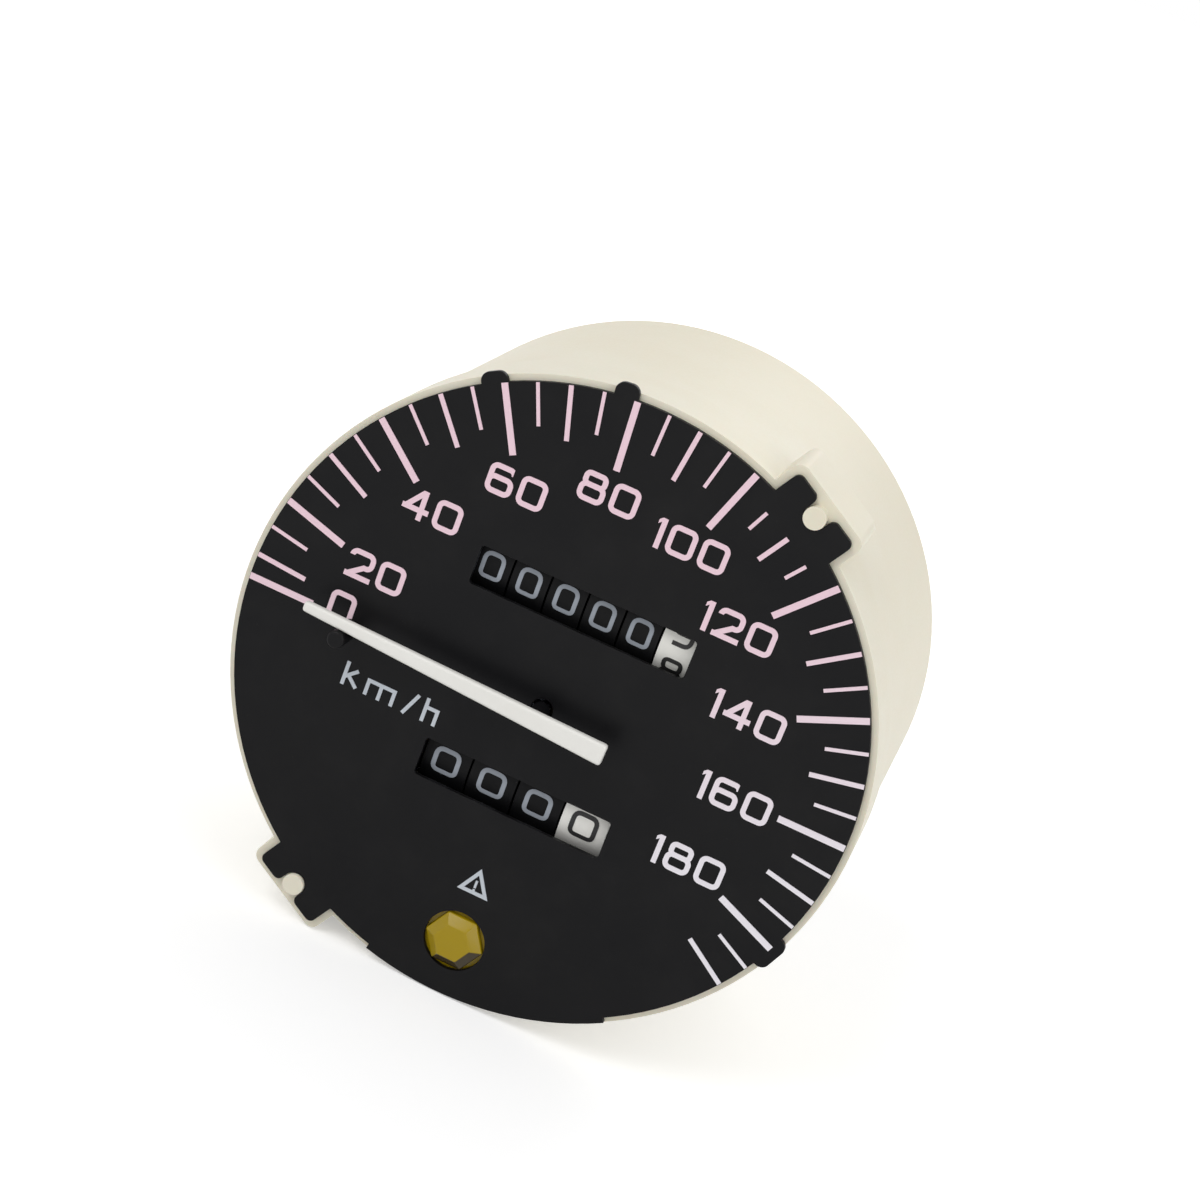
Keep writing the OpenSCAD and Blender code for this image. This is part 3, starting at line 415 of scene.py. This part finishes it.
finishes = {
    "creamCase": {
        **plasticGrain, "base": (0.80, 0.76, 0.63), "patch": (0.77, 0.71, 0.55), "patchMix": 0.5,
        "tintAndGlow": {"along": (0.0, 1.0, 0.0), "start": -0.05, "end": 0.004, "color": (0.78, 0.725, 0.575)},
        "wear": {"reach": 0.0005, "amount": 0.35, "color": (0.86, 0.83, 0.74)},
        "dust": 0.1, "dustColor": (0.5, 0.42, 0.28), "roughness": (0.38, 0.52), "subsurface": 0.08},
    "dialBlack": {
        **plasticGrain, "base": (0.0036, 0.0036, 0.0044), "patch": (0.006, 0.0058, 0.0062),
        "grainScale": 5200.0, "wear": {"reach": 0.00018, "amount": 0.4, "color": (0.05, 0.05, 0.05)},
        "dust": 0.03, "roughness": (0.34, 0.46), "specular": 0.16},
    "dialInk": {
        **plasticGrain, "base": (0.84, 0.81, 0.86), "patch": (0.79, 0.75, 0.8), "patchMix": 0.5,
        # Painted glow: the ink turns pink towards the top, as if lit from behind through a coloured backing
        "tintAndGlow": {"along": (-0.35, 0.0, 0.94), "start": -0.022, "end": 0.02, "color": (0.84, 0.61, 0.69)},
        "grainScale": 6000.0, "roughness": (0.5, 0.65)},
    "legendInk": {
        **plasticGrain, "base": (0.58, 0.62, 0.67), "patch": (0.5, 0.54, 0.59),
        "grainScale": 6000.0, "roughness": (0.5, 0.65)},
    "needleWhite": {
        **plasticGrain, "base": (0.84, 0.83, 0.79), "patch": (0.8, 0.785, 0.735),
        "wear": {"reach": 0.0003, "amount": 0.2, "color": (0.9, 0.89, 0.87)},
        "dust": 0.06, "roughness": (0.34, 0.46)},
    "blackPlastic": {
        **plasticGrain, "base": (0.02, 0.02, 0.021), "patch": (0.032, 0.031, 0.03),
        "wear": {"reach": 0.0003, "amount": 0.5, "color": (0.1, 0.1, 0.1)},
        "dust": 0.2, "roughness": (0.4, 0.56)},
    "drumBlack": {
        **plasticGrain, "base": (0.0036, 0.0036, 0.0042), "patch": (0.006, 0.006, 0.0062),
        "dust": 0.03, "roughness": (0.42, 0.55), "specular": 0.14},
    "drumWhite": {
        **plasticGrain, "base": (0.9, 0.89, 0.85), "patch": (0.85, 0.84, 0.78),
        "dust": 0.06, "roughness": (0.4, 0.52)},
    # Painted shade: the white figures are given a grey colour for the shade inside the counter windows
    "drumInkWhitePaintedShade": {
        **plasticGrain, "base": (0.34, 0.37, 0.42), "patch": (0.28, 0.31, 0.35), "roughness": (0.5, 0.62)},
    "drumInkBlack": {
        **plasticGrain, "base": (0.016, 0.016, 0.017), "patch": (0.024, 0.023, 0.022),
        "roughness": (0.5, 0.62)},
    "naturalPlastic": {
        **plasticGrain, "base": (0.74, 0.72, 0.64), "patch": (0.69, 0.66, 0.56),
        "dust": 0.06, "roughness": (0.4, 0.55), "subsurface": 0.1},
    "zincCast": {
        **metalGrain, "base": (0.5, 0.505, 0.51), "patch": (0.4, 0.4, 0.405), "patchMix": 0.7,
        "wear": {"reach": 0.0003, "amount": 0.5, "color": (0.68, 0.68, 0.68)},
        "dust": 0.15, "roughness": (0.36, 0.52), "bump": 0.25},
    "turnedSteel": {
        **metalGrain, "base": (0.58, 0.585, 0.6), "patch": (0.5, 0.5, 0.51),
        "wear": {"reach": 0.0002, "amount": 0.4, "color": (0.75, 0.75, 0.76)},
        "dust": 0.1, "roughness": (0.2, 0.36), "turned": 1.0},
    "turnedBrass": {
        **metalGrain, "base": (0.66, 0.48, 0.2), "patch": (0.55, 0.38, 0.14), "patchMix": 0.6,
        "wear": {"reach": 0.0002, "amount": 0.4, "color": (0.8, 0.64, 0.34)},
        "dust": 0.1, "roughness": (0.22, 0.38), "turned": 1.0},
    "bluedSteel": {
        **metalGrain, "base": (0.1, 0.16, 0.34), "patch": (0.14, 0.17, 0.28), "patchMix": 0.6,
        "roughness": (0.2, 0.32), "turned": 0.8},
    "spunAlloy": {
        **metalGrain, "base": (0.74, 0.74, 0.76), "patch": (0.64, 0.64, 0.66),
        "roughness": (0.24, 0.4), "turned": 0.7},
    "sinteredIron": {
        **metalGrain, "base": (0.12, 0.12, 0.125), "patch": (0.16, 0.145, 0.13), "patchMix": 0.7,
        "metallic": 0.7, "roughness": (0.5, 0.66), "bump": 0.4},
    "amberLens": {
        **plasticGrain, "base": (0.46, 0.325, 0.004), "patch": (0.38, 0.26, 0.003),
        # Painted dark reflection: facets that face down and out are darkened, standing in for the dark dial
        # they would mirror
        "paintedDarkReflection": {"along": (0.42, 0.0, -0.91), "start": 0.1, "end": 0.5, "color": (0.05, 0.033, 0.006)},
        "grainScale": 900.0, "roughness": (0.08, 0.16), "bump": 0.04, "ior": 1.49, "transmission": 0.12,
        "specular": 0.25},
    "bulbGlass": {
        **plasticGrain, "base": (0.9, 0.91, 0.9), "patch": (0.84, 0.85, 0.84), "patchMix": 0.4,
        "grainScale": 500.0, "roughness": (0.04, 0.12), "bump": 0.03, "ior": 1.5, "transmission": 0.92},
}
materials = {name: makeFinish(name, look) for name, look in finishes.items()}
print("finishes made:", len(materials))

nodesByFinish = {
    "creamCase": ["housing"],
    "dialBlack": ["dial_plate", "needle_hub", "stop_pin"],
    "dialInk": ["dial_scale", "dial_numerals"],
    "legendInk": ["dial_legend"],
    "needleWhite": ["needle"],
    "blackPlastic": ["lamp_holders", "reset_knob"],
    "drumBlack": [f"odometer_drum_{i}" for i in range(1, 6)] + [f"trip_drum_{i}" for i in range(1, 4)],
    "drumWhite": ["odometer_drum_6", "trip_drum_4"],
    "naturalPlastic": ["odometer_carry_pinions", "trip_carry_pinions", "odometer_gear", "trip_gear"],
    "zincCast": ["movement_frame", "front_bridge", "cable_neck"],
    "turnedSteel": [
        "dial_foot_clips", "bridge_screws", "frame_screws", "odometer_shaft", "shaft_clips", "carry_shafts",
        "needle_spindle", "input_spindle", "cross_shaft", "odometer_arbor", "trip_arbor", "trip_shaft",
        "reset_spindle"],
    "turnedBrass": [
        "dial_feet", "needle_bush", "hairspring_stud", "neck_bush", "hairspring_collet", "drive_worm",
        "cross_wheel", "odometer_worm", "trip_worm", "odometer_worm_wheel", "odometer_pinion",
        "trip_worm_wheel", "trip_pinion", "trip_bevel", "reset_bevel"],
    "bluedSteel": ["hairspring"],
    "spunAlloy": ["drag_cup"],
    "sinteredIron": ["magnet"],
    "amberLens": ["warning_jewel"],
    "bulbGlass": ["lamp_bulbs"],
}


def paint(piece, finish):
    piece.data.materials.clear()
    piece.data.materials.append(materials[finish])


painted = set()
for finish, names in nodesByFinish.items():
    for nodeName in names:
        paint(nodes[nodeName], finish)
        painted.add(nodeName)
print("nodes painted:", len(painted), "left:", sorted(set(nodes) - painted))


def standFor(piece, nodeName, body, finish):
    paint(piece, finish)
    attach(piece, body)
    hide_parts(nodeName)
    print("piece:", piece.name, len(piece.data.polygons), "faces")


# Case, dial, needle, jewel, lamp holders, screws and stop pin: the solids with their edges rounded as
# moulded, stamped or turned
roundings = [
    {"node": "housing", "piece": "caseShell", "body": "case", "width": 0.4, "segments": 3,
     "finish": "creamCase", "slot": "cream_plastic"},
    {"node": "dial_plate", "piece": "dialFace", "body": "case", "width": 0.12, "segments": 2,
     "finish": "dialBlack", "slot": "dial_black"},
    {"node": "needle", "piece": "needleBar", "body": "needle_line", "width": 0.42, "segments": 4,
     "reach": 2.0, "finish": "needleWhite", "slot": "needle_white"},
    {"node": "warning_jewel", "piece": "jewelLens", "body": "case", "width": 0.12, "segments": 2,
     "finish": "amberLens", "slot": "amber_plastic"},
    {"node": "lamp_holders", "piece": "lampSockets", "body": "case", "width": 0.25, "segments": 2,
     "finish": "blackPlastic", "slot": "black_plastic"},
    {"node": "frame_screws", "piece": "rearScrews", "body": "case", "width": 0.15, "segments": 2,
     "finish": "turnedSteel", "slot": "steel"},
    {"node": "stop_pin", "piece": "stopPeg", "body": "case", "width": 0.35, "segments": 3,
     "finish": "dialBlack", "slot": "black_plastic"},
]
copies = {"join": 0.002, "flat": 0.4, "sharp": 32, "smooth": 40, "normalWeight": 100}  # millimetres, degrees


# Rounds the sharp edges outside a reach from the Y axis, where a small bore would hold the others back
def roundOutline(piece, rounding):
    editAll(piece, "EDGE")
    bpy.ops.mesh.select_all(action="DESELECT")
    bpy.ops.mesh.edges_select_sharp(sharpness=math.radians(copies["sharp"]))
    objectMode()
    for edge in piece.data.edges:
        ends = [piece.data.vertices[index].co for index in edge.vertices]
        if min(math.hypot(end.x, end.z) for end in ends) < rounding["reach"] * mm:
            edge.select = False
    bpy.ops.object.mode_set(mode="EDIT")
    bpy.ops.mesh.bevel(offset=rounding["width"] * mm, segments=rounding["segments"], affect="EDGES",
                       clamp_overlap=True)
    objectMode()


def roundAll(piece, rounding):
    applyModifier(piece, "BEVEL", width=rounding["width"] * mm, segments=rounding["segments"],
                  limit_method="ANGLE", angle_limit=math.radians(copies["sharp"]), use_clamp_overlap=True,
                  miter_outer="MITER_ARC")


# A copy of a CAD node with its loose triangles merged and its edges rounded
def roundedCopy(rounding):
    piece = linkObject(rounding["piece"], nodes[rounding["node"]].data.copy())
    editAll(piece)
    bpy.ops.mesh.remove_doubles(threshold=copies["join"] * mm)
    bpy.ops.mesh.customdata_custom_splitnormals_clear()
    bpy.ops.mesh.dissolve_limited(angle_limit=math.radians(copies["flat"]))
    objectMode()
    if "reach" in rounding:
        roundOutline(piece, rounding)
    else:
        roundAll(piece, rounding)
    smoothByAngle(piece, copies["smooth"])
    applyModifier(piece, "WEIGHTED_NORMAL", weight=copies["normalWeight"], keep_sharp=True)
    return piece


for rounding in roundings:
    part = roundedCopy(rounding)
    standFor(part, rounding["node"], rounding["body"], rounding["finish"])

# Cable neck: a turned tube with a cut thread, as radii and lengths along the neck
neck = {
    "bore": 3.8, "mouth": 0.35,
    "tail": 5.0, "tailLength": 3.0,
    "collar": 5.7, "collarEnd": 0.7, "collarSlope": 0.3,
    "root": 5.42, "tip": 5.0, "tipSlope": 0.8,
    "steps": 72, "join": 0.001, "smooth": 25,
}
thread = {"foot": 5.3, "crest": 5.97, "flank": 0.4, "flat": 0.1, "start": 1.1, "pitch": 1.0, "turns": 9,
          "steps": 40}


def makeTube():
    low, high = boxOf("cable_neck")
    seat = low.y + neck["tailLength"]
    tube = ringPiece("cableNeck", [
        (neck["bore"], low.y), (neck["tail"], low.y), (neck["tail"], seat), (neck["collar"], seat),
        (neck["collar"], neck["collarEnd"]), (neck["root"], neck["collarEnd"] + neck["collarSlope"]),
        (neck["root"], high.y - neck["tipSlope"]), (neck["tip"], high.y),
        (neck["bore"] + neck["mouth"], high.y), (neck["bore"], high.y - neck["mouth"])])
    editAll(tube)
    bpy.ops.mesh.spin(steps=neck["steps"], angle=math.tau, center=(0, 0, 0), axis=(0, 1, 0))
    objectMode()
    mergePoints(tube, neck["join"])
    return tube


def makeThread():
    crestStart = thread["start"] + thread["flank"]
    crestEnd = crestStart + thread["flat"]
    ridge = ringPiece("neckThread", [
        (thread["foot"], thread["start"]), (thread["crest"], crestStart),
        (thread["crest"], crestEnd), (thread["foot"], crestEnd + thread["flank"])])
    applyModifier(ridge, "SCREW", axis="Y", angle=math.tau, screw_offset=thread["pitch"] * mm,
                  iterations=thread["turns"], steps=thread["steps"], render_steps=thread["steps"],
                  use_merge_vertices=False)
    editAll(ridge)
    bpy.ops.mesh.fill_holes(sides=0)
    bpy.ops.mesh.select_all(action="SELECT")
    bpy.ops.mesh.normals_make_consistent(inside=False)
    objectMode()
    return ridge


def makeNeck():
    tube = joinPieces([makeTube(), makeThread()])
    smoothByAngle(tube, neck["smooth"])
    return tube


standFor(makeNeck(), "cable_neck", "case", "zincCast")

# Trip knob: a fluted cap with a dished end
knob = {
    "flutes": 30, "fluteWall": 0.06, "fluteDepth": 0.32,
    "brim": 0.9, "dishSlope": 0.5, "dish": 0.5,
    "edge": 0.14, "edgeSegments": 2, "sharp": 30, "smooth": 35,
    "sideNormal": 0.5, "endNormal": 0.9,
}


def makeKnob():
    low, high = boxOf("reset_knob")
    middle = (low + high) / 2
    deselectAll()
    bpy.ops.mesh.primitive_cylinder_add(vertices=2 * knob["flutes"], radius=(high.x - low.x) / 2 * mm,
                                        depth=(high.y - low.y) * mm, rotation=(math.pi / 2, 0, 0))
    cap = settle(bpy.context.active_object, "tripKnob")
    placeInMesh(cap, Matrix.Translation(middle * mm))
    side = [face for face in cap.data.polygons if abs(face.normal.y) < knob["sideNormal"]]
    side.sort(key=lambda face: math.atan2(face.center.z - middle.z * mm, face.center.x - middle.x * mm))
    selectFaces(cap, side[::2])
    bpy.ops.mesh.inset(thickness=knob["fluteWall"] * mm, depth=-knob["fluteDepth"] * mm, use_individual=True)
    objectMode()
    selectFaces(cap, [face for face in cap.data.polygons if face.normal.y > knob["endNormal"]])
    bpy.ops.mesh.inset(thickness=knob["brim"] * mm, depth=0)
    bpy.ops.mesh.inset(thickness=knob["dishSlope"] * mm, depth=-knob["dish"] * mm)
    objectMode()
    applyModifier(cap, "BEVEL", width=knob["edge"] * mm, segments=knob["edgeSegments"], limit_method="ANGLE",
                  angle_limit=math.radians(knob["sharp"]), use_clamp_overlap=True)
    smoothByAngle(cap, knob["smooth"])
    return cap


standFor(makeKnob(), "reset_knob", "reset_line", "blackPlastic")

# Number bands: square-shouldered figures 0 to 9 wrapped round a drum, one band for each counter and copied.
# Strokes are in shares of a figure's width and height.
counters = {
    "odometer": {"count": 6, "width": 3.2, "height": 3.9, "stroke": 0.58, "settle": -2.6},
    "trip": {"count": 4, "width": 3.9, "height": 3.9, "stroke": 0.64, "settle": -4.9},
}
figure = {
    "lift": 0.01,
    "layer": 0.004,  # keeps the strokes of one figure apart where they cross
    "thickness": 0.05,
    "corner": 1.0,
    "cornerSteps": 5,
    "shortest": 0.001,
    "longest": 0.35,
    "join": 0.0005,
    "step": 36.0,
    "between": 8.58,  # the figure at which the tenths drum rests
    "strokes": {
        0: [[(0.5, 0), (1, 0), (1, 1), (0, 1), (0, 0), (0.5, 0)]],
        1: [[(0.25, 0.82), (0.55, 1), (0.55, -0.09)]],
        2: [[(0, 0.75), (0, 1), (1, 1), (1, 0.55), (0, 0.05)], [(-0.08, 0), (1.05, 0)]],
        3: [[(0, 0.8), (0, 1), (1, 1), (1, 0.5), (0.3, 0.5)],
            [(0.5, 0.5), (1, 0.5), (1, 0), (0, 0), (0, 0.2)]],
        4: [[(0.72, 1.09), (0.72, -0.09)], [(0.72, 1), (0, 0.28)], [(-0.06, 0.28), (1.05, 0.28)]],
        5: [[(-0.03, 1), (0.95, 1)], [(0.07, 1), (0.07, 0.47)],
            [(-0.03, 0.56), (1, 0.56), (1, 0), (0, 0), (0, 0.18)]],
        6: [[(0.9, 1), (0, 1), (0, 0), (1, 0), (1, 0.55), (0.08, 0.55)]],
        7: [[(-0.05, 1), (1.03, 1)], [(0.95, 1), (0.35, -0.09)]],
        8: [[(0.5, 0), (1, 0), (1, 0.52), (0, 0.52), (0, 0), (0.5, 0)],
            [(0.5, 1), (0.94, 1), (0.94, 0.52), (0.06, 0.52), (0.06, 1), (0.5, 1)]],
        9: [[(0.1, 0), (1, 0), (1, 1), (0, 1), (0, 0.45), (0.92, 0.45)]],
    },
}


# The middle line of a stroke in millimetres, with its corners rounded and its long runs divided
def strokeLine(points, counter):
    wide = counter["width"] - counter["stroke"]
    tall = counter["height"] - counter["stroke"]
    path = [Vector(((x - 0.5) * wide, (y - 0.5) * tall)) for x, y in points]
    line = [path[0]]
    for before, corner, after in zip(path, path[1:], path[2:]):
        reach = min(figure["corner"], (corner - before).length / 2, (after - corner).length / 2)
        start = corner + (before - corner).normalized() * reach
        end = corner + (after - corner).normalized() * reach
        for index in range(figure["cornerSteps"] + 1):
            share = index / figure["cornerSteps"]
            line.append(start.lerp(corner, share).lerp(corner.lerp(end, share), share))
    line.append(path[-1])
    fine = [line[0]]
    for before, after in zip(line, line[1:]):
        length = (after - before).length
        if length < figure["shortest"]:
            continue
        pieces = math.ceil(length / figure["longest"])
        fine += [before.lerp(after, (index + 1) / pieces) for index in range(pieces)]
    return fine


# A flat figure, each of its strokes a ribbon a little above the one before
def makeFigure(number, counter):
    verts = []
    faces = []
    for layer, points in enumerate(figure["strokes"][number]):
        line = strokeLine(points, counter)
        first = len(verts)
        for index, point in enumerate(line):
            run = line[min(index + 1, len(line) - 1)] - line[max(index - 1, 0)]
            side = Vector((-run.y, run.x)).normalized() * counter["stroke"] / 2
            for edge in (point + side, point - side):
                verts.append((edge.x * mm, edge.y * mm, layer * figure["layer"] * mm))
        for index in range(first, len(verts) - 2, 2):
            faces.append((index, index + 1, index + 3, index + 2))
    shape = meshPiece(f"figure{number}", verts, [], faces)
    mergePoints(shape, figure["join"])
    return shape


def makeBand(name, counter, radius):
    reach = (radius + figure["lift"]) * mm
    shapes = []
    for number in figure["strokes"]:
        shape = makeFigure(number, counter)
        turn = math.radians(number * figure["step"] + counter["settle"])
        for vertex in shape.data.vertices:
            angle = vertex.co.y / reach + turn
            rise = reach + vertex.co.z
            vertex.co = (vertex.co.x, -rise * math.cos(angle), rise * math.sin(angle))
        shapes.append(shape)
    band = joinPieces(shapes)
    applyModifier(band, "SOLIDIFY", thickness=figure["thickness"] * mm, offset=1.0)
    return settle(band, name)


for label, counter in counters.items():
    low, high = boxOf(f"{label}_drum_1")
    pattern = makeBand(label + "Figures", counter, (high.z - low.z) / 2)
    for index in range(counter["count"]):
        last = index == counter["count"] - 1
        tenths = last and label == "odometer"
        body = "odometer_tenths" if tenths else f"{label}_drum_{index + 1}"
        band = linkObject(f"{label}Figures{index + 1}", pattern.data.copy())
        low, high = boxOf(f"{label}_drum_{index + 1}")
        turned = Matrix.Rotation(math.radians(figure["between"] * figure["step"]) if tenths else 0, 4, "X")
        placeInMesh(band, Matrix.Translation((low + high) / 2 * mm) @ turned)
        # Black figures on the last, white drum; white figures greyed with painted shade on the black drums
        paint(band, "drumInkBlack" if last else "drumInkWhitePaintedShade")
        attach(band, body)
        print("piece:", band.name, "centre", [round(value, 2) for value in (low + high) / 2])
    bpy.data.objects.remove(pattern)


# The turn that points a camera or lamp from its place to what it is aimed at
def aimed(place, aim):
    return (aim - place).to_track_quat("-Z", "Y")


# Camera at the photograph's viewing angle, its place and aim in millimetres and its roll in degrees
view = {
    "place": (48.57, -352.44, 120.26),
    "aim": (1.84, -54.8, 17.02),
    "roll": 21.52,
    "lens": 75.0,
    "sensor": 36.0,
    "near": 0.01,
    "far": 50.0,
}
cameraData = bpy.data.cameras.new("viewCamera")
cameraData.lens = view["lens"]
cameraData.sensor_width = view["sensor"]
cameraData.sensor_fit = "HORIZONTAL"
cameraData.clip_start = view["near"]
cameraData.clip_end = view["far"]
camera = linkObject("viewCamera", cameraData)
place = Vector(view["place"]) * mm
level = aimed(place, Vector(view["aim"]) * mm).to_matrix()
turned = level @ Matrix.Rotation(math.radians(view["roll"]), 3, "Z")
camera.matrix_world = Matrix.Translation(place) @ turned.to_4x4()
bpy.context.scene.camera = camera

# Floor, lamps and world: plain and pale, in metres
studio = {
    "floorRadius": 4.0,
    "floorSides": 96,
    "floorColor": (0.86, 0.86, 0.86),
    "floorRoughness": 0.9,
    "floorGlow": {"near": 0.36, "far": 0.62, "from": 0.1, "to": 0.55},
    "white": (1.0, 1.0, 1.0),
    "ambient": 0.5,
    "aim": (0.0, -0.03, 0.0),
    "lamps": [
        {"name": "keyLamp", "place": (-0.55, -0.75, 0.95), "size": 0.8, "power": 5.8},
        {"name": "fillLamp", "place": (0.9, -0.55, 0.5), "size": 0.9, "power": 3.2},
        {"name": "backLamp", "place": (0.2, 0.9, 0.8), "size": 0.8, "power": 3.2},
    ],
}


def addLamp(lamp):
    data = bpy.data.lights.new(lamp["name"], "AREA")
    data.shape = "DISK"
    data.size = lamp["size"]
    data.energy = lamp["power"]
    item = linkObject(lamp["name"], data)
    item.location = lamp["place"]
    item.rotation_euler = aimed(Vector(lamp["place"]), Vector(studio["aim"])).to_euler()


# 1 for what is seen straight, mirrored or through glass, and 0 for the light that falls on the object
def addSeenRays(tree):
    path = addNode(tree, "ShaderNodeLightPath")
    seen = addMath(tree, "MAXIMUM", path.outputs["Is Camera Ray"], path.outputs["Is Glossy Ray"])
    return addMath(tree, "MAXIMUM", seen, path.outputs["Is Transmission Ray"])


def makeFloor():
    deselectAll()
    bpy.ops.mesh.primitive_circle_add(vertices=studio["floorSides"], radius=studio["floorRadius"],
                                      fill_type="NGON", location=(0, 0, cadBox[0][2]))
    floor = settle(bpy.context.active_object, "studioFloor")
    material = bpy.data.materials.new("studioFloor")
    material.use_nodes = True
    tree = material.node_tree
    shader = tree.nodes["Principled BSDF"]
    feed(tree, shader.inputs["Base Color"], studio["floorColor"])
    feed(tree, shader.inputs["Roughness"], studio["floorRoughness"])
    feed(tree, shader.inputs["Specular IOR Level"], 0.0)
    feed(tree, shader.inputs["Emission Color"], studio["white"])
    glow = studio["floorGlow"]
    away = addNode(tree, "ShaderNodeVectorMath", operation="LENGTH")
    tree.links.new(addNode(tree, "ShaderNodeTexCoord").outputs["Object"], away.inputs[0])
    strength = addRange(tree, away.outputs["Value"], glow["from"], glow["to"], glow["near"], glow["far"])
    tree.links.new(addMath(tree, "MULTIPLY", addSeenRays(tree), strength), shader.inputs["Emission Strength"])
    floor.data.materials.append(material)


def makeWorld():
    world = bpy.data.worlds.new("studioWorld")
    bpy.context.scene.world = world
    world.use_nodes = True
    tree = world.node_tree
    background = tree.nodes["Background"]
    feed(tree, background.inputs["Color"], studio["white"])
    rest = addMath(tree, "MULTIPLY", addSeenRays(tree), 1.0 - studio["ambient"])
    tree.links.new(addMath(tree, "ADD", rest, studio["ambient"]), background.inputs["Strength"])


makeFloor()
makeWorld()
for lamp in studio["lamps"]:
    addLamp(lamp)
bpy.context.scene.view_settings.view_transform = "Standard"
print("studio ready")

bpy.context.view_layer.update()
deselectAll()
